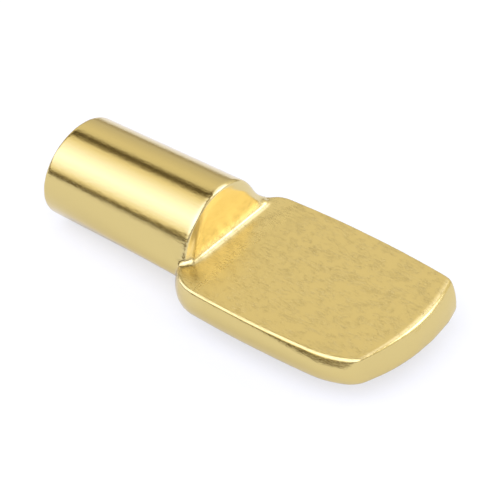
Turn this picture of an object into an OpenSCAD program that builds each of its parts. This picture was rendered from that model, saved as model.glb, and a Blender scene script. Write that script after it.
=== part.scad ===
// Spoon shelf support pin, one forged piece.
// A round pin plugs into a hole in a cabinet side. Past a square shoulder it is
// flattened into a paddle, and the shelf rests on the paddle's top face, the seat.
// Millimetres. +X runs from the pin towards the paddle's tip and +Z is up.
// The origin is the middle of the part's underside.

/* [Pin] */
// Diameter of the round pin
pin_d = 6.3; // [5:0.05:8]
// Length of the round pin, from its free end to the shoulder
pin_l = 11; // [7:0.1:20]
// Radius of the rolled-over edge at the pin's free end
pin_end_r = 0.25; // [0.1:0.05:1]
// Amount by which the pin's radius draws in at the shoulder, beside the flare
draw_in = 0.05; // [0.02:0.01:0.15]

/* [Paddle] */
// Reach of the paddle past the shoulder
paddle_l = 13; // [10:0.1:20]
// Width of the paddle where it is widest
paddle_w = 10; // [8:0.1:14]
// Thickness of the paddle
paddle_t = 1.8; // [1.2:0.05:2.5]
// Depth of the seat below the pin's axis
seat_drop = 0; // [0:0.05:0.5]
// Distance from the shoulder to the widest place
widest_x = 4.2; // [2:0.1:6]
// Radius of the bowed sides, seen from above
side_bow_r = 57; // [40:1:100]
// Radius of the bowed tip, seen from above
tip_bow_r = 12; // [10:0.5:20]
// Sideways shift of the tip's furthest point
tip_skew = 1; // [0:0.1:2]
// Radius of the flare beside the shoulder, seen from above, less half the paddle's width
flare_extra = 0.7; // [0.3:0.1:2]
// Distance that the flare starts behind the shoulder
flare_back = 1.65; // [1:0.05:2.5]
// Radius of the eased front corner on the -Y side, seen from above
ease_r = 12; // [10:0.5:16]
// Depth of the eased corner's cut, towards its arc's centre
ease_cut = 0.5; // [0.2:0.05:0.8]
// Turn of that cut from the pin's axis, in degrees
ease_turn = 57; // [45:1:70]

/* [Edges] */
// Radius of the paddle's upper edge along the sides
side_edge_r = 0.25; // [0.1:0.05:0.4]
// Radius of the paddle's upper edge along the tip
tip_edge_r = 0.35; // [0.1:0.05:0.4]
// Radius of the paddle's lower edge
under_edge_r = 0.2; // [0.1:0.05:0.4]
// Depth of the crowned walls' bulge, where the metal spread in the die
crown_bulge = 0.17; // [0.08:0.01:0.2]
// Height of the tip wall's furthest line above the paddle's underside
tip_crown_h = 0.45; // [0.3:0.05:0.85]
// Radius of the edge around the shoulder
shoulder_edge_r = 0.15; // [0.05:0.05:0.3]
// Radius of the crease between the shoulder and the seat
crease_r = 0.35; // [0.1:0.05:0.6]
// Length of the conical heel under the paddle
heel_l = 1.6; // [0.5:0.1:3]

/* [Hidden] */

pin_r = pin_d / 2;
half_w = paddle_w / 2;
seat_z = -seat_drop;
under_z = seat_z - paddle_t;
crown_r = (pow(paddle_t / 2, 2) + pow(crown_bulge, 2)) / (2 * crown_bulge);
overlap = 1;                              // how far pieces of one solid run into each other
run_in = 0.01;                            // how far a small arc stands proud of the one it runs into
side_centre_y = side_bow_r - half_w;      // distance of a bowed side's centre from the axis
flare_r = half_w + flare_extra;
flare_x = flare_r - flare_back;
// Where the flare's underside comes out of the pin, measured back from the shoulder.
flare_start = sqrt(pow(flare_r, 2) + pow(under_z, 2) - pow(pin_r, 2)) - flare_x;
draw_l = flare_start + 0.15;              // length of the drawn-in stretch
shoulder_r = pin_r - draw_in;
step_r = shoulder_r - 2 * shoulder_edge_r; // where the heel and the crease leave the shoulder's face
corner_x = paddle_l - pow(half_w + tip_skew, 2) / (2 * tip_bow_r);
corner_y = half_w - pow(corner_x - widest_x, 2) / (2 * side_bow_r);
fine = 360;
round_fn = 120;

// How far an edge's centre lies past the crown's centre, when the edge runs smoothly into it.
function edge_offset(edge_r, rise) = sqrt(pow(crown_r - edge_r + run_in, 2) - pow(rise, 2));

// Centres of a wall's three arcs: its crown, its upper edge and its lower edge.
function wall_arcs(reach, edge_r, crown_h) = [
    [reach - crown_r, under_z + crown_h],
    [reach - crown_r + edge_offset(edge_r, paddle_t - edge_r - crown_h), seat_z - edge_r],
    [reach - crown_r + edge_offset(under_edge_r, crown_h - under_edge_r), under_z + under_edge_r],
];

// Section of the paddle from an arc's centre out to its wall: rounded edges above and
// below, and a crowned wall between them that is furthest out at the height crown_h.
module wall_section(reach, edge_r, crown_h) {
    arcs = wall_arcs(reach, edge_r, crown_h);
    crown = arcs[0];
    upper = arcs[1];
    lower = arcs[2];
    polygon([[0, under_z], [lower.x, under_z], lower, upper, [upper.x, seat_z], [0, seat_z]]);
    translate(upper) circle(edge_r, $fn = round_fn);
    translate(lower) circle(under_edge_r, $fn = round_fn);
    intersection() {
        translate(crown) circle(crown_r, $fn = fine);
        polygon([crown, crown + (upper - crown) * 2, crown + (lower - crown) * 2]);
    }
}

// Disc of the paddle's thickness with a crowned wall, centred on a point seen from above.
module disc(centre, reach, edge_r = side_edge_r, crown_h = paddle_t / 2) {
    translate(centre) rotate_extrude($fn = fine) wall_section(reach, edge_r, crown_h);
}

// The band between the two bowed sides.
module bowed_sides() {
    intersection() {
        disc([widest_x, side_centre_y], side_bow_r);
        disc([widest_x, -side_centre_y], side_bow_r);
    }
}

// The eased front corner's disc, which cuts into the square corner by ease_cut. Its wall
// runs on from the tip's.
module ease_disc() {
    back = ease_r - ease_cut;
    centre = [corner_x - back * cos(ease_turn), back * sin(ease_turn) - corner_y];
    disc(centre, ease_r, tip_edge_r, tip_crown_h);
}

// The paddle: its flare beside the shoulder, then its bowed sides up to the trimmed tip.
module paddle() {
    intersection() {
        bowed_sides();
        disc([flare_x, 0], flare_r);
    }
    intersection() {
        bowed_sides();
        ease_disc();
        disc([paddle_l - tip_bow_r, tip_skew], tip_bow_r, tip_edge_r, tip_crown_h);
        translate([flare_x - overlap, -paddle_w, -pin_d]) cube([paddle_l, 2 * paddle_w, pin_d * 2]);
    }
}

// The round pin: its free end is rolled over, it draws in beside the flare, and the
// shoulder's edge is just broken.
module pin() {
    rotate([0, -90, 0]) rotate_extrude($fn = round_fn) {
        polygon([[0, 0], [shoulder_r - shoulder_edge_r, 0], [shoulder_r, shoulder_edge_r], [pin_r, draw_l],
                 [pin_r, pin_l - pin_end_r], [pin_r - pin_end_r, pin_l], [0, pin_l]]);
        translate([pin_r - pin_end_r, pin_l - pin_end_r]) circle(pin_end_r, $fn = round_fn);
        translate([shoulder_r - shoulder_edge_r, shoulder_edge_r]) circle(shoulder_edge_r, $fn = round_fn);
    }
}

// The heel: a cone from just inside the shoulder's edge down the length heel_l to the
// paddle's flat underside. It starts inside the pin and runs on inside the paddle.
module heel() {
    slope = (step_r + under_z) / heel_l;
    start = -shoulder_edge_r;
    end = heel_l * 1.5;
    intersection() {
        translate([start, 0, 0]) rotate([0, 90, 0])
            cylinder(r1 = step_r - slope * start, r2 = step_r - slope * end, h = end - start, $fn = round_fn);
        translate([start, -half_w, -pin_d]) cube([end - start, paddle_w, pin_d + under_z + paddle_t / 2]);
    }
}

// The concave crease between the shoulder and the seat.
module crease() {
    corner = seat_z + crease_r;
    difference() {
        intersection() {
            translate([-crease_r, 0, 0]) rotate([0, 90, 0])
                cylinder(r = step_r, h = 2 * crease_r, $fn = round_fn);
            translate([-crease_r, -half_w, seat_z - crease_r]) cube([2 * crease_r, paddle_w, 2 * crease_r]);
        }
        translate([crease_r, 0, corner]) rotate([90, 0, 0])
            cylinder(r = crease_r, h = pin_d, center = true, $fn = round_fn);
    }
}

module support_pin() {
    color([0.84, 0.72, 0.40])
        translate([(pin_l - paddle_l) / 2, 0, pin_r]) {
            pin();
            paddle();
            heel();
            crease();
        }
}

support_pin();
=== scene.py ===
"""Looks of a spoon shelf support pin: one forged, brass-plated piece on a pale studio floor."""

import math

import bmesh
import bpy
from bpy.props import FloatProperty, FloatVectorProperty, PointerProperty
from mathutils import Matrix, Vector, noise


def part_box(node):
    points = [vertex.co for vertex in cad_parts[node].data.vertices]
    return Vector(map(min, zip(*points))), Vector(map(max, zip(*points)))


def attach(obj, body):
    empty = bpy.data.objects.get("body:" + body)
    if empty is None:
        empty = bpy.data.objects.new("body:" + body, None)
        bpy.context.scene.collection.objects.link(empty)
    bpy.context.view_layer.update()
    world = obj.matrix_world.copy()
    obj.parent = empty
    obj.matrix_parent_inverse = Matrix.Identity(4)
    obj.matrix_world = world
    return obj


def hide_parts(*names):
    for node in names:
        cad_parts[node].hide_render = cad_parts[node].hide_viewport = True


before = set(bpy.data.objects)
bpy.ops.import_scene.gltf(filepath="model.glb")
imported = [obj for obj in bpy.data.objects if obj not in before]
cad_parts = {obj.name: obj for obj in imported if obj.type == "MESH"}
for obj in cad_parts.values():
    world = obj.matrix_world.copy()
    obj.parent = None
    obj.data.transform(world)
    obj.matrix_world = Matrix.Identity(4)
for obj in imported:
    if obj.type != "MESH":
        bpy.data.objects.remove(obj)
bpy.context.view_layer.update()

bl_info = {
    "name": "Shelf Support Pin",
    "version": (1, 0, 0),
    "blender": (4, 5, 0),
    "location": "3D View > Sidebar > Shelf Pin",
    "description": "Forges the skin of a spoon shelf support pin, plates it and lights it",
    "category": "Add Mesh",
}

NODE = "support_pin"
LOW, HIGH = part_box(NODE)
MM = 0.001                      # the blanks are shaped in millimetres and scaled at the end


# Sizes and colours ---------------------------------------------------------------------


class ForgingSizes(bpy.types.PropertyGroup):
    """Sizes of the forging. The overall ones come from the frame."""

    pin_length: FloatProperty(
        name="Pin length", description="From the free end to the shoulder",
        default=11 * MM, unit="LENGTH")
    end_round: FloatProperty(
        name="End round", description="Radius of the rolled-over edge at the free end",
        default=0.22 * MM, unit="LENGTH")
    crop_skew: FloatProperty(
        name="Crop skew", description="How far the free end's cut leans back up one radius",
        default=0.43 * MM, unit="LENGTH")
    paddle_thickness: FloatProperty(
        name="Paddle thickness", description="From the seat to the paddle's underside",
        default=1.8 * MM, unit="LENGTH")
    seat_drop: FloatProperty(
        name="Seat drop", description="Depth of the seat below the pin's axis",
        default=0.0, unit="LENGTH")
    side_edge: FloatProperty(
        name="Side edge", description="Radius of the seat's edge along the sides",
        default=0.07 * MM, unit="LENGTH")
    under_edge: FloatProperty(
        name="Under edge", description="Radius of the underside's edge",
        default=0.3 * MM, unit="LENGTH")
    tip_edge: FloatProperty(
        name="Tip edge", description="Radius of the seat's edge along the tip",
        default=0.36 * MM, unit="LENGTH")
    lip: FloatProperty(
        name="Lip", description="Radius of the edge around the shoulder's face",
        default=0.18 * MM, unit="LENGTH")
    face_lean: FloatProperty(
        name="Face lean", description="How far the shoulder's face comes forward down to the seat",
        default=0.3 * MM, unit="LENGTH")
    crease: FloatProperty(
        name="Crease", description="Radius of the hollow between the shoulder and the seat",
        default=0.36 * MM, unit="LENGTH")
    heel_length: FloatProperty(
        name="Heel length", description="Reach of the cone below the shoulder",
        default=1.6 * MM, unit="LENGTH")
    grain: FloatProperty(
        name="Grain", description="Size of the skin's faces",
        default=0.09 * MM, unit="LENGTH")


class FinishColours(bpy.types.PropertyGroup):
    """Colours and gloss of the brass plating, with light painted near the crease."""

    plate: FloatVectorProperty(
        name="Plate", description="Bright brass plating", subtype="COLOR", size=3,
        default=(0.665, 0.52, 0.195))
    worn: FloatVectorProperty(
        name="Worn plate", description="Paler plating where the seat is rubbed",
        subtype="COLOR", size=3, default=(0.75, 0.585, 0.22))
    # painted light: a colour lighter than the plate, standing in for light bounced between the shoulder's
    # face and the seat
    crease_bounce_paint: FloatVectorProperty(
        name="Painted crease light", description="Painted light on the plating in the corner below the shoulder",
        subtype="COLOR", size=3, default=(0.70, 0.57, 0.26))
    pin_roughness: FloatProperty(
        name="Pin roughness", description="Roughness of the burnished pin", default=0.14)
    seat_roughness: FloatProperty(
        name="Seat roughness", description="Roughness of the satin seat", default=0.33)


class StudioSettings(bpy.types.PropertyGroup):
    """The floor, the light tent and the camera."""

    floor_size: FloatProperty(
        name="Floor size", description="Width of the square floor", default=1.2, unit="LENGTH")
    azimuth: FloatProperty(
        name="Azimuth", description="Camera's turn from -Y towards +X",
        default=math.radians(38.51), unit="ROTATION")
    elevation: FloatProperty(
        name="Elevation", description="Camera's height above the horizon",
        default=math.radians(39.68), unit="ROTATION")
    roll: FloatProperty(
        name="Roll", description="Camera's turn about its own line of sight",
        default=math.radians(-1.01), unit="ROTATION")
    distance: FloatProperty(
        name="Distance", description="From the camera to the point it looks at",
        default=72 * MM, unit="LENGTH")
    lens: FloatProperty(name="Lens", description="Focal length in millimetres", default=97.0)


# The forging's measures in millimetres, with the pin's axis on X and its shoulder at 0 -------


class Measures:
    """Every length of the forging that the shaping below needs, in millimetres."""

    def __init__(self, sizes):
        self.pin_r = (HIGH.z - LOW.z) / 2 / MM
        self.half_w = (HIGH.y - LOW.y) / 2 / MM
        self.pin_l = sizes.pin_length / MM
        self.paddle_l = (HIGH.x - LOW.x) / MM - self.pin_l
        self.end_r = sizes.end_round / MM
        self.crop_skew = sizes.crop_skew / MM
        self.seat = -sizes.seat_drop / MM
        self.under = self.seat - sizes.paddle_thickness / MM
        self.side_edge = sizes.side_edge / MM
        self.under_edge = sizes.under_edge / MM
        self.tip_edge = sizes.tip_edge / MM
        self.lip = sizes.lip / MM
        self.face_lean = sizes.face_lean / MM
        self.crease = sizes.crease / MM
        self.heel_l = sizes.heel_length / MM
        self.grain = sizes.grain / MM
        self.widest_x = 4.2
        self.bow_r = 57.0
        # The two sides differ a little, as struck metal does: -1 is the -Y side and 1 the +Y.
        self.seat_w = {-1: self.half_w - 0.31, 1: self.half_w - 0.2}
        self.corner = {-1: (1.75, 2.12), 1: (1.05, 1.2)}
        self.seat_corner = 0.12
        self.tip_corner = {-1: 0.3, 1: 0.08}    # what the tip's lower corners add to that

    def to_row(self):
        """The move and scale from these millimetres to the row's frame in metres."""
        at = Vector((HIGH.x - self.paddle_l * MM, 0, LOW.z + self.pin_r * MM))
        return Matrix.Translation(at) @ Matrix.Scale(MM, 4)


def smooth_step(low, high, value):
    """0 below low, 1 above high and a smooth rise between."""
    t = min(max((value - low) / (high - low), 0.0), 1.0)
    return t * t * (3 - 2 * t)


# Shapes ------------------------------------------------------------------------------------


def shaped_tube(around, levels, place):
    """A closed tube with its ends capped, each vertex put at place(turn, level): turn is its
    number round the tube and level its ring, counted from one end."""
    bm = bmesh.new()
    bmesh.ops.create_cone(bm, cap_ends=True, segments=around, radius1=1, radius2=1, depth=2)
    upright = [e for e in bm.edges if abs(e.verts[0].co.z - e.verts[1].co.z) > 1]
    bmesh.ops.subdivide_edges(bm, edges=upright, cuts=levels - 2, use_grid_fill=True)
    for v in bm.verts:
        turn = round(math.atan2(v.co.y, v.co.x) / math.tau * around) % around
        level = round((v.co.z + 1) / 2 * (levels - 1))
        v.co = place(turn, level)
    return bm


def pin_blank(m):
    """The round pin: a profile with a rolled-over end and a rounded lip, spun."""
    dome = 0.03                                     # how far the end bulges past its rim
    crop_reach = 1.5                                # how far from the end the crop's lean dies away
    dish_rim = 0.35                                 # width of the rim round the dished face
    profile = [(-m.pin_l, 0), (-m.pin_l, m.pin_r * 0.5)]
    for turn in (math.radians(15 * step) for step in range(7)):
        profile.append((-m.pin_l + dome + m.end_r * (1 - math.cos(turn)),
                        m.pin_r - m.end_r * (1 - math.sin(turn))))
    for turn in (math.radians(15 * step) for step in range(7)):
        profile.append((-m.lip * (1 - math.sin(turn)), m.pin_r - m.lip * (1 - math.cos(turn))))
    face_r = m.pin_r - m.lip
    profile += [(0, face_r * (1 - step / 20)) for step in range(1, 21)]
    bm = bmesh.new()
    verts = [bm.verts.new((x, 0, r)) for x, r in profile]
    edges = [bm.edges.new(pair) for pair in zip(verts, verts[1:])]
    bmesh.ops.spin(bm, geom=verts + edges, cent=(0, 0, 0), axis=(1, 0, 0), angle=math.tau,
                   steps=360, use_merge=True)
    bmesh.ops.remove_doubles(bm, verts=bm.verts, dist=1e-5)
    for v in bm.verts:                              # the free end was cropped a little askew
        askew = m.crop_skew * (0.55 + v.co.z / m.pin_r)
        v.co.x += max(askew, 0) * smooth_step(-m.pin_l + crop_reach, -m.pin_l, v.co.x)
    for v in bm.verts:                              # the shoulder's face leans and is dished
        inside = smooth_step(face_r, face_r - dish_rim, math.hypot(v.co.y, v.co.z))
        if v.co.x > -1e-4:
            v.co.x += m.face_lean * inside * (1 - min(max(v.co.z / face_r, 0), 1))
    for v in bm.verts:
        v.co.y *= flare(v.co)
    return bm


def flare(co):
    """How far the squeezed metal spread sideways at the foot of the shoulder, as a factor:
    slight on the -Y side, and a full gusset on the +Y side."""
    spread, middle, height, back = (0.52, -0.6, 1.0, 1.6) if co.y > 0 else (0.25, -0.85, 1.0, 0.9)
    near = 1 - min(max(-co.x / back, 0), 1)
    height *= 1 if co.z > middle else 0.75
    return 1 + spread * near ** 2.5 * math.exp(-((co.z - middle) / height) ** 2)


def side_y(m, x, side):
    """Half the seat's width at x on one side, with the eased front corner on the -Y side."""
    start, reach, depth = 9.2, 2.25, 0.55           # where the ease begins, and how it deepens
    ease = depth * (max(x - start, 0) / reach) ** 2 if side < 0 else 0
    return m.seat_w[side] - (x - m.widest_x) ** 2 / (2 * m.bow_r) - ease


def tip_x(m, y, lean):
    """Reach of the tip at y: a flat arc at the seat, and a rounder one further out below."""
    seat_back, seat_side, seat_r = 0.9, 0.6, 14.5   # the arcs' set-back, sideways shift and radius
    low_back, low_side, low_r = 11.6, 1.5, 11.5     # the low arc's centre is what is set back
    seat_arc = m.paddle_l - seat_back - (y - seat_side) ** 2 / (2 * seat_r)
    low_arc = m.paddle_l - low_back + math.sqrt(low_r ** 2 - (y - low_side) ** 2)
    return seat_arc + (low_arc - seat_arc) * lean


def round_corner(points, at, cut):
    """Moves the points within the distance cut of a corner onto a curve across it."""
    corner = points[at].copy()
    before, after = at, at
    while (points[before] - corner).length < cut:
        before -= 1
    while (points[after] - corner).length < cut:
        after += 1
    start, end = points[before].copy(), points[after].copy()
    for i in range(before, after):
        t = (i - before) / (after - before)
        points[i] = start * (1 - t) ** 2 + corner * 2 * t * (1 - t) + end * t ** 2


def wall_rings(arcs, low):
    """Heights and outward distances along arcs laid end to end from the underside up: each arc
    is its radius, the elevations of its normal at both ends in degrees, and its steps."""
    z, out = low, 0.0
    rings = [(z, out)]
    for radius, start, end, steps in arcs:
        turns = [math.radians(start + (end - start) * step / steps) for step in range(steps + 1)]
        for a, b in zip(turns, turns[1:]):
            z += radius * (math.sin(b) - math.sin(a))
            out += radius * (math.cos(b) - math.cos(a))
            rings.append((z, out))
    seat_rim = out
    return [(z, out - seat_rim) for z, out in rings]


def out_at(rings, z):
    """How far a wall stands out at a height, read off its rings."""
    for (low, out), (high, next_out) in zip(rings, rings[1:]):
        if z <= high:
            return out + (next_out - out) * max(z - low, 0) / max(high - low, 1e-9)
    return rings[-1][1]


def side_wall(m, x, side):
    """A side's barrelled wall: a flat beside the seat's edge, then a swell, then a slow curve
    down. The flat widens towards the tip on the -Y side."""
    foot, brow, underfoot = 24, 26.5, -25           # elevations that part the arcs, in degrees
    low, high, fall = (math.radians(a) for a in (foot, brow, -underfoot))
    width = 0.06 + 0.5 * smooth_step(4, 11.5, x) if side < 0 else 0.06
    swell = 2.0 - 1.3 * smooth_step(4, 11, x) if side < 0 else 0.6
    flat = width / (high - low)
    above = (swell * math.sin(low) + flat * (math.sin(high) - math.sin(low))
             + m.side_edge * (1 - math.sin(high)))
    slow = (m.seat - m.under - above) / math.sin(fall) - m.under_edge * (1 / math.sin(fall) - 1)
    return wall_rings([(m.under_edge, -90, underfoot, 9), (slow, underfoot, 0, 9), (swell, 0, foot, 7),
                       (flat, foot, brow, 4), (m.side_edge, brow, 90, 9)], m.under)


def tip_wall(m):
    """The tip's convex wall, from its under edge up to the rounded edge of the seat."""
    foot, brow = 8, 30
    foot_sin, brow_sin = math.sin(math.radians(foot)), math.sin(math.radians(brow))
    rise = m.seat - m.under - m.under_edge * (1 + foot_sin) - m.tip_edge * (1 - brow_sin)
    return wall_rings([(m.under_edge, -90, foot, 10), (rise / (brow_sin - foot_sin), foot, brow, 16),
                       (m.tip_edge, brow, 90, 12)], m.under)


def paddle_ring(m, z, lean, tucked):
    """The paddle's outline at a height: the -Y side from its rear corner, the tip, and the +Y
    side back to its rear corner. The tip is at its lean, less what is tucked under."""

    def side_at(x, side):
        return side_y(m, x, side) + out_at(side_wall(m, x, side), z)

    bend_steps, long_steps = 24, 64
    sides, ends = {}, {}
    for side in (-1, 1):
        x = m.paddle_l - 1
        for _ in range(8):                          # closes in on where the side meets the tip
            y = side * side_at(x, side)
            x = tip_x(m, y, lean) - tucked
        ends[side] = Vector((x, y))
        corner_x, r = m.corner[side]
        centre_y = side_y(m, corner_x, side) - r
        r += out_at(side_wall(m, corner_x, side), z)
        turns = [math.radians(180 - 90 * step / bend_steps) for step in range(bend_steps)]
        places = [corner_x + (x - corner_x) * (1 - (1 - step / long_steps) ** 1.3)
                  for step in range(long_steps)]
        sides[side] = [Vector((corner_x + r * math.cos(a), side * (centre_y + r * math.sin(a))))
                       for a in turns]
        sides[side] += [Vector((at, side * side_at(at, side))) for at in places]
    across = [ends[-1].y + (ends[1].y - ends[-1].y) * (0.5 - 0.5 * math.cos(math.pi * step / long_steps))
              for step in range(long_steps + 1)]
    tip = [Vector((tip_x(m, y, lean) - tucked, y)) for y in across]
    points = sides[-1] + tip + sides[1][::-1]
    for side, at in ((-1, len(sides[-1])), (1, len(sides[-1]) + len(tip) - 1)):
        round_corner(points, at, m.seat_corner + m.tip_corner[side] * lean)
    return points


def paddle_blank(m):
    """The paddle: rings of its outline from the underside to the seat, closest together at the
    edges. The tip's wall runs from the seat's arc to the lower one."""
    tip = tip_wall(m)
    reach = max(out for _, out in tip)
    widest = next(z for z, out in tip if out == reach)
    levels = 44
    heights = [m.under + (m.seat - m.under) * (0.5 - 0.5 * math.cos(math.pi * level / levels))
               for level in range(levels + 1)]
    rings = []
    for z in heights:
        out = out_at(tip, z)
        lean, tucked = (1, reach - out) if z < widest else (out / reach, 0)
        rings.append(paddle_ring(m, z, lean, tucked))
    return shaped_tube(len(rings[0]), len(rings),
                       lambda turn, level: (*rings[level][turn], heights[level]))


def crease_blank(m):
    """The hollow fillet between the shoulder's face and the seat, dying away at both ends."""
    rows = [-3.05, -2.9, -2.75, -2.6, -2.45, -2.3, -2.15, 3.2, 3.4, 3.6, 3.8, 4.0, 4.15]
    inside, below = -0.35, -0.2                     # how far the section runs into the other metal
    turns = [math.radians(15 * step) for step in range(7)]
    hollow = [(m.crease * (1 - math.cos(a)), m.crease * (1 - math.sin(a))) for a in turns]
    section = [(inside, below), (inside, 0.02), *hollow, (m.crease, below)]
    bm = bmesh.new()
    faces = [bm.faces.new([bm.verts.new((x, 0, z)) for x, z in section])]
    start = [Vector((x, 0, z)) for x, z in section]
    for y in rows:
        size = 0.02 + 0.98 * smooth_step(-3.1, -2.1, y) * smooth_step(4.2, 3.4, y)
        if y > rows[0]:
            run = bmesh.ops.extrude_face_region(bm, geom=faces)
            faces = [g for g in run["geom"] if isinstance(g, bmesh.types.BMFace)]
        for v, at in zip(faces[0].verts, start):
            v.co = (m.face_lean + at.x * size, y, m.seat + at.z * (size if at.z > 0 else 1))
    return bm


def heel_blank(m):
    """The heel below the shoulder: a cone from the pin's underside to the paddle's."""
    bm = bmesh.new()
    length = m.heel_l * 1.35                        # it runs on inside the paddle
    step_in, in_pin = 0.15, 0.1
    bmesh.ops.create_cone(bm, cap_ends=True, segments=180, radius1=m.pin_r - step_in,
                          radius2=-m.under * 0.6, depth=length)
    lie_down = Matrix.Translation((length / 2 - in_pin, 0, 0)) @ Matrix.Rotation(math.pi / 2, 4, "Y")
    bmesh.ops.transform(bm, matrix=lie_down, verts=bm.verts)
    cut = bmesh.ops.bisect_plane(
        bm, geom=[*bm.verts, *bm.edges, *bm.faces], plane_co=(0, 0, (m.seat + m.under) / 2),
        plane_no=(0, 0, 1), clear_outer=True)
    rim = [g for g in cut["geom_cut"] if isinstance(g, bmesh.types.BMEdge)]
    bmesh.ops.holes_fill(bm, edges=rim, sides=0)
    return bm


def merged_skin(blanks, grain):
    """One closed skin of even faces round the overlapping blanks, as a new bmesh."""
    mesh = bpy.data.meshes.new("blanks")
    together = bmesh.new()
    for blank in blanks:
        bmesh.ops.recalc_face_normals(blank, faces=blank.faces)
        blank.to_mesh(mesh)
        blank.free()
        together.from_mesh(mesh)
    together.to_mesh(mesh)
    together.free()
    obj = bpy.data.objects.new("blanks", mesh)
    bpy.context.collection.objects.link(obj)
    skin = obj.modifiers.new("skin", "REMESH")
    skin.mode = "VOXEL"
    skin.voxel_size = grain
    depsgraph = bpy.context.evaluated_depsgraph_get()
    made = bmesh.new()
    made.from_mesh(obj.evaluated_get(depsgraph).to_mesh())
    bpy.data.objects.remove(obj)
    bpy.data.meshes.remove(mesh)
    return made


def soften(bm, chosen, passes, factor=0.5):
    """Smooths the chosen vertices a number of times."""
    verts = [v for v in bm.verts if chosen(v.co)]
    for _ in range(passes):
        bmesh.ops.smooth_vert(bm, verts=verts, factor=factor,
                              use_axis_x=True, use_axis_y=True, use_axis_z=True)


def ease_blends(bm, m):
    """Smooths the whole skin a little, and the places where the metal flowed more: the flare,
    the heel, the crease and the lip."""

    def on_lip(co):
        return co.x > -0.22 and co.z > m.seat - 0.2

    def in_flare(co):
        outside = math.hypot(co.y, co.z) > m.pin_r - 0.15 or abs(co.y) > 2.9
        return -1.6 < co.x < 0.5 and outside and co.z < 1.6 and not on_lip(co)

    def in_crease(co):
        return 0.05 < co.x < 0.9 and -0.1 < co.z - m.seat < 0.6

    def under_heel(co):
        return -0.7 < co.x < m.heel_l + 0.8 and co.z < m.under + 0.12

    soften(bm, lambda co: True, 2, 0.3)
    soften(bm, in_flare, 14)
    soften(bm, under_heel, 40)
    soften(bm, in_crease, 4)
    soften(bm, lambda co: in_flare(co) or on_lip(co) and co.x < 0.3, 3)


def hand_forge(bm, m):
    """The unevenness of a struck piece: faint waves, a nick near the tip and a long scratch.
    The trimmed tip's wall is wavier than the rest."""
    scratch_a, scratch_b = Vector((7.9, -0.9, 0)), Vector((10.4, 1.1, 0))
    scratch_depth, scratch_half = 0.012, 0.1
    along = (scratch_b - scratch_a).normalized()
    nick, nick_depth, nick_r = Vector((10.9, 3.1, m.seat)), 0.03, 0.2
    for v in bm.verts:
        co = v.co
        on_paddle = smooth_step(-0.2, 1.5, co.x)
        wave = noise.noise(co * 0.55 + Vector((3.1, 0, 7.7))) * 0.006
        ripple = noise.noise(co * 1.9) * 0.0015
        co += v.normal * (wave + ripple - 0.006) * (0.15 + 0.85 * on_paddle)
        trimmed = smooth_step(m.paddle_l - 1.5, m.paddle_l - 0.8, co.x) * smooth_step(-0.1, -0.5, co.z)
        co += v.normal * trimmed * 0.03 * (noise.noise(co * 1.1 + Vector((0, 5.3, 0))) - 0.3)
        if abs(co.z - m.seat) < 0.1 and co.x > 1:
            flat = Vector((co.x, co.y, 0)) - scratch_a
            ahead = flat.dot(along)
            off = abs(flat.cross(along).z)
            run = smooth_step(0, 0.5, ahead) * smooth_step(0, 0.5, (scratch_b - scratch_a).length - ahead)
            co.z -= scratch_depth * run * max(0, 1 - off / scratch_half)
            co.z -= nick_depth * max(0, 1 - (co - nick).length / nick_r)


def keep_in_box(bm):
    """Holds the skin inside the frame's box, which forging waves could leave by a hair."""
    for v in bm.verts:
        for axis in range(3):
            v.co[axis] = min(max(v.co[axis], LOW[axis]), HIGH[axis])


def forged_skin(m):
    """The whole forging's skin, in the row's frame."""
    blanks = [pin_blank(m), paddle_blank(m), heel_blank(m), crease_blank(m)]
    bm = merged_skin(blanks, m.grain)
    ease_blends(bm, m)
    bm.normal_update()
    hand_forge(bm, m)
    bm.transform(m.to_row())
    keep_in_box(bm)
    for face in bm.faces:
        face.smooth = True
    return bm


# Material ----------------------------------------------------------------------------------


class Nodes:
    """Adds nodes to a tree and links them, so that a material reads as a list of steps."""

    def __init__(self, tree):
        self.tree = tree
        tree.nodes.clear()

    def add(self, kind, inputs=None, **values):
        """A new node with its settings, each input set or linked."""
        node = self.tree.nodes.new(kind)
        for name, value in values.items():
            setattr(node, name, value)
        for name, value in (inputs or {}).items():
            socket = node.inputs[name]
            if isinstance(value, bpy.types.NodeSocket):
                self.tree.links.new(value, socket)
            else:
                socket.default_value = value
        return node

    def math(self, operation, a, b=0.0, clamp=False):
        return self.add("ShaderNodeMath", {0: a, 1: b}, operation=operation, use_clamp=clamp).outputs[0]

    def ramp(self, value, low, high, to_low=0.0, to_high=1.0):
        """A smooth change from to_low to to_high as value goes from low to high."""
        return self.add("ShaderNodeMapRange", {
            "Value": value, "From Min": low, "From Max": high, "To Min": to_low, "To Max": to_high},
            interpolation_type="SMOOTHSTEP").outputs["Result"]

    def mix(self, factor, a, b):
        """Colour a with colour b mixed in by factor."""
        node = self.add("ShaderNodeMix", data_type="RGBA")
        for socket, value in ((node.inputs[0], factor), (node.inputs[6], a), (node.inputs[7], b)):
            if isinstance(value, bpy.types.NodeSocket):
                self.tree.links.new(value, socket)
            else:
                socket.default_value = value
        return node.outputs[2]


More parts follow.
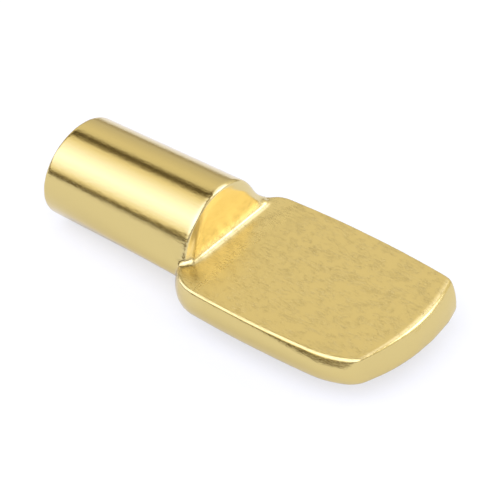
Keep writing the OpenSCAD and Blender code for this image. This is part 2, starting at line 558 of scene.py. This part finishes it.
def scratch_lines(n, in_mm):
    """Short random strokes in three directions, broken up by masks, as a value from 0 to 1."""
    strokes = None
    for turn, scale in ((0.35, 1.0), (1.4, 1.25), (2.45, 0.85)):
        laid = n.add("ShaderNodeMapping", {
            "Vector": in_mm, "Rotation": (0, 0, turn), "Scale": (0.8 * scale, 5.5 * scale, 1.0)})
        lines = n.add("ShaderNodeTexNoise", {
            "Vector": laid.outputs["Vector"], "Scale": 1.0, "Detail": 2.0,
            "Roughness": 0.6, "Distortion": 0.4}).outputs["Fac"]
        mask = n.add("ShaderNodeTexNoise", {
            "Vector": in_mm, "Scale": 1.4 * scale, "Detail": 1.0}).outputs["Fac"]
        thin = n.ramp(n.math("ABSOLUTE", n.math("SUBTRACT", lines, 0.5)), 0.0, 0.03, 1.0, 0.0)
        thin = n.math("MULTIPLY", thin, n.ramp(mask, 0.5, 0.57))
        strokes = thin if strokes is None else n.math("MAXIMUM", strokes, thin)
    return strokes


def brass_plate(finish, m):
    """Brass plating: burnished along the pin, satin and rubbed on the seat, and painted lighter near the
    crease for light bounced between the shoulder's face and the seat.
    """
    mat = bpy.data.materials.new("brass_plate")
    mat.use_nodes = True
    n = Nodes(mat.node_tree)
    place = n.add("ShaderNodeTexCoord").outputs["Object"]
    in_mm = n.add("ShaderNodeMapping", {
        "Vector": place, "Scale": (1 / MM, 1 / MM, 1 / MM),
        "Location": (-(HIGH.x / MM - m.paddle_l), 0, -m.pin_r)}).outputs["Vector"]
    split = n.add("ShaderNodeSeparateXYZ", {"Vector": in_mm})
    x, z = split.outputs["X"], split.outputs["Z"]
    on_paddle = n.ramp(x, -0.05, 0.3)

    # the seat: the flat top of the paddle, rubbed less beside the shoulder
    near_top = n.ramp(z, m.seat - 0.12, m.seat - 0.04)
    seat = n.math("MULTIPLY", on_paddle, near_top)
    patches = n.add("ShaderNodeTexNoise", {
        "Vector": in_mm, "Scale": 0.5, "Detail": 3.0, "Roughness": 0.55}).outputs["Fac"]
    wear = n.math("MULTIPLY", n.ramp(x, 0.5, 3.0, 0.5, 1.0), n.ramp(patches, 0.3, 0.65, 0.9, 1.0))
    rubbed = n.math("MULTIPLY", seat, wear)

    # colour: painted lighter near the crease for light bounced between the shoulder's face and the seat,
    # paler where rubbed
    near_crease = n.math("MULTIPLY", n.ramp(x, -0.5, 0.05), n.ramp(x, 0.6, 3.0, 1.0, 0.0))
    plate, worn, crease_bounce_paint = ((*c, 1.0) for c in (finish.plate, finish.worn, finish.crease_bounce_paint))
    # painted light: the crease colour mixed in near the crease
    colour = n.mix(n.math("MULTIPLY", near_crease, 0.7), plate, crease_bounce_paint)
    colour = n.mix(rubbed, colour, worn)

    # scratches, only where the seat is rubbed, painted a little darker than the rest: partly the marks'
    # own colour, partly painted shade in their grooves
    strokes = n.math("MULTIPLY", scratch_lines(n, in_mm), rubbed)
    scratch_mark_and_shade = (0.50, 0.38, 0.13, 1)
    colour = n.mix(n.math("MULTIPLY", strokes, 0.22), colour, scratch_mark_and_shade)

    # grain: fine everywhere, drawn streaks that are faint on the seat, and dents where it is rubbed
    fine = n.add("ShaderNodeTexNoise", {
        "Vector": in_mm, "Scale": 6.5, "Detail": 3.0, "Roughness": 0.6}).outputs["Fac"]
    drawn = n.add("ShaderNodeMapping", {"Vector": in_mm, "Scale": (2.2, 7.0, 7.0)})
    streaks = n.add("ShaderNodeTexNoise", {
        "Vector": drawn.outputs["Vector"], "Scale": 1.0, "Detail": 4.0,
        "Roughness": 0.7}).outputs["Fac"]
    dents = n.add("ShaderNodeTexNoise", {
        "Vector": in_mm, "Scale": 2.6, "Detail": 2.0, "Roughness": 0.5}).outputs["Fac"]
    off_seat = n.ramp(seat, 0.0, 1.0, 2.6, 0.3)
    height = n.math("ADD", n.math("MULTIPLY", fine, 0.9), n.math("MULTIPLY", streaks, off_seat))
    height = n.math("ADD", height, n.math("MULTIPLY", n.math("MULTIPLY", dents, rubbed), 0.3))
    height = n.math("SUBTRACT", height, n.math("MULTIPLY", strokes, 2.2))
    bump_depth = 0.0022 * MM
    bump = n.add("ShaderNodeBump", {"Height": height, "Strength": 1.0, "Distance": bump_depth})

    lift = finish.seat_roughness - finish.pin_roughness
    roughness = n.math("ADD", n.math("MULTIPLY", rubbed, lift), finish.pin_roughness)
    roughness = n.math("ADD", roughness, n.ramp(fine, 0.35, 0.7, -0.015, 0.02))
    shader = n.add("ShaderNodeBsdfPrincipled", {
        "Base Color": colour, "Metallic": 1.0, "Roughness": roughness,
        "Normal": bump.outputs["Normal"]})
    n.add("ShaderNodeOutputMaterial", {"Surface": shader.outputs["BSDF"]})
    return mat


# Stage -------------------------------------------------------------------------------------


def pale_floor(size):
    """A white floor that keeps a soft shadow. Seen directly it also glows a little, so the
    shadow stays light."""
    bm = bmesh.new()
    bmesh.ops.create_grid(bm, x_segments=8, y_segments=8, size=size / 2)
    mesh = bpy.data.meshes.new("floor")
    bm.to_mesh(mesh)
    bm.free()
    floor = bpy.data.objects.new("floor", mesh)
    bpy.context.collection.objects.link(floor)
    mat = bpy.data.materials.new("white_floor")
    mat.use_nodes = True
    n = Nodes(mat.node_tree)
    seen = n.add("ShaderNodeLightPath").outputs["Is Camera Ray"]
    paint_for_light, paint_seen, glow_seen = 0.76, 0.38, 0.54
    paint = n.mix(seen, (*(paint_for_light,) * 3, 1), (*(paint_seen,) * 3, 1))
    lit = n.add("ShaderNodeBsdfDiffuse", {"Color": paint})
    glow = n.add("ShaderNodeEmission", {
        "Color": (1, 1, 1, 1), "Strength": n.ramp(seen, 0.0, 1.0, 0.0, glow_seen)})
    both = n.add("ShaderNodeAddShader")
    n.tree.links.new(lit.outputs[0], both.inputs[0])
    n.tree.links.new(glow.outputs[0], both.inputs[1])
    n.add("ShaderNodeOutputMaterial", {"Surface": both.outputs[0]})
    mesh.materials.append(mat)
    return floor


TENT = (  # angle about X from +Y up over +Z to -Y in degrees, and how bright the tent is there
    (0, 0.70), (20, 0.75), (48, 0.99), (62, 0.98), (69, 0.10), (79, 0.10), (87, 1.1),
    (110, 1.7), (133, 2.4), (152, 1.75), (166, 1.2), (180, 1.1))
PANELS = (  # a lamp's panel: its direction, the cosines of its rim and its full part, its strength
    ((0.72, 0.60, 0.33), 0.96, 0.99, 2.7),
    ((0.28, 0.60, 0.75), 0.93, 0.985, 0.6))
TINTS = (  # the light's colour where it is dim, at a plain level and where it is bright
    (1.2, 0.97, 0.6), (1.04, 1.0, 0.93), (0.93, 1.0, 1.42))


def light_tent():
    """A soft white tent with a dark gap overhead, a dark skirt above the floor, and two lamps'
    panels on the +X, +Y side. Seen directly it is white, and it tints only what is mirrored."""
    world = bpy.data.worlds.new("tent")
    bpy.context.scene.world = world
    world.use_nodes = True
    n = Nodes(world.node_tree)
    way = n.add("ShaderNodeTexCoord").outputs["Generated"]
    split = n.add("ShaderNodeSeparateXYZ", {"Vector": way})
    angle = n.math("ARCTAN2", split.outputs["Z"], split.outputs["Y"])
    turn = n.math("DIVIDE", angle, math.pi)
    brightest = max(level for _, level in TENT)
    ramp = n.add("ShaderNodeValToRGB", {"Fac": turn})
    steps = ramp.color_ramp.elements
    while len(steps) < len(TENT):
        steps.new(0.5)
    for step, (degrees, _) in zip(steps, TENT):
        step.position = degrees / 180
    for step, (_, level) in zip(steps, TENT):
        step.color = (level / brightest,) * 3 + (1,)
    tent = n.math("MULTIPLY", ramp.outputs["Color"], brightest)
    x, y, z = split.outputs
    front_right = n.math("MULTIPLY", n.ramp(x, 0.1, 0.5), n.ramp(y, 0.1, 0.4))
    skirt_level = n.math("MAXIMUM", n.ramp(y, 0.0, 0.5, 0.1, 0.65), front_right)
    above_skirt = n.math("MAXIMUM", n.ramp(z, 0.10, 0.19), skirt_level)
    brighter_front = n.ramp(x, -0.3, 0.5, 1.0, 1.3)
    tent = n.math("MULTIPLY", n.math("MULTIPLY", tent, above_skirt), brighter_front)
    level = tent
    for towards, rim, core, strength in PANELS:
        facing = n.add("ShaderNodeVectorMath", {0: way, 1: tuple(Vector(towards).normalized())},
                       operation="DOT_PRODUCT")
        level = n.math("ADD", level, n.ramp(facing.outputs["Value"], rim, core, 0.0, strength))
    path = n.add("ShaderNodeLightPath")
    seen = path.outputs["Is Camera Ray"]
    strength = n.add("ShaderNodeMix", {0: seen, 2: level, 3: 1.0}, data_type="FLOAT").outputs[0]
    dim, plain, bright = ((*tint, 1.0) for tint in TINTS)
    tint = n.mix(n.ramp(level, 1.1, 1.8), n.mix(n.ramp(level, 0.1, 0.7), dim, plain), bright)
    tint = n.mix(n.math("MAXIMUM", seen, path.outputs["Is Diffuse Ray"]), tint, (1, 1, 1, 1))
    back = n.add("ShaderNodeBackground", {"Color": tint, "Strength": strength})
    n.add("ShaderNodeOutputWorld", {"Surface": back.outputs[0]})


def studio_camera(studio):
    """The camera, looking down over the paddle's near corner."""
    data = bpy.data.cameras.new("camera")
    data.lens = studio.lens
    data.sensor_width = 36
    data.clip_start, data.clip_end = 1 * MM, 10
    cam = bpy.data.objects.new("camera", data)
    bpy.context.collection.objects.link(cam)
    aim = Vector((1.433, -0.679, 3.662)) * MM       # in the row's frame
    turn = (Matrix.Rotation(studio.azimuth, 4, "Z")
            @ Matrix.Rotation(math.pi / 2 - studio.elevation, 4, "X")
            @ Matrix.Rotation(studio.roll, 4, "Z"))
    back = turn @ Vector((0, 0, 1))
    cam.matrix_world = Matrix.Translation(aim + back * studio.distance) @ turn
    bpy.context.scene.camera = cam


# Operators ---------------------------------------------------------------------------------


class SHELFPIN_OT_forging(bpy.types.Operator):
    """Make the forged and plated support pin"""

    bl_idname = "shelf_pin.forging"
    bl_label = "Forge the Pin"

    def execute(self, context):
        m = Measures(context.scene.pin_sizes)
        bm = forged_skin(m)
        if not bm.faces:
            raise RuntimeError("the blanks gave no skin")
        mesh = bpy.data.meshes.new("forged_support_pin")
        bm.to_mesh(mesh)
        bm.free()
        forging = bpy.data.objects.new("forged_support_pin", mesh)
        context.collection.objects.link(forging)
        mesh.materials.append(brass_plate(context.scene.pin_finish, m))
        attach(forging, "root")
        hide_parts(NODE)
        return {"FINISHED"}


class SHELFPIN_OT_studio(bpy.types.Operator):
    """Set the floor, the light tent and the camera"""

    bl_idname = "shelf_pin.studio"
    bl_label = "Set the Studio"

    def execute(self, context):
        studio = context.scene.pin_studio
        pale_floor(studio.floor_size)
        light_tent()
        studio_camera(studio)
        context.scene.view_settings.view_transform = "Standard"
        return {"FINISHED"}


class SHELFPIN_PT_panel(bpy.types.Panel):
    """Lists the pin's operators"""

    bl_label = "Shelf Support Pin"
    bl_idname = "SHELFPIN_PT_panel"
    bl_space_type = "VIEW_3D"
    bl_region_type = "UI"
    bl_category = "Shelf Pin"

    def draw(self, context):
        for operator in OPERATORS:
            self.layout.operator(operator.bl_idname)


OPERATORS = (SHELFPIN_OT_forging, SHELFPIN_OT_studio)
GROUPS = {"pin_sizes": ForgingSizes, "pin_finish": FinishColours, "pin_studio": StudioSettings}
CLASSES = (*GROUPS.values(), *OPERATORS, SHELFPIN_PT_panel)


def register():
    for cls in CLASSES:
        bpy.utils.register_class(cls)
    for name, group in GROUPS.items():
        setattr(bpy.types.Scene, name, PointerProperty(type=group))


def unregister():
    for name in GROUPS:
        delattr(bpy.types.Scene, name)
    for cls in reversed(CLASSES):
        bpy.utils.unregister_class(cls)


def main():
    register()
    bpy.ops.shelf_pin.forging()
    bpy.ops.shelf_pin.studio()


if __name__ == "__main__":
    main()
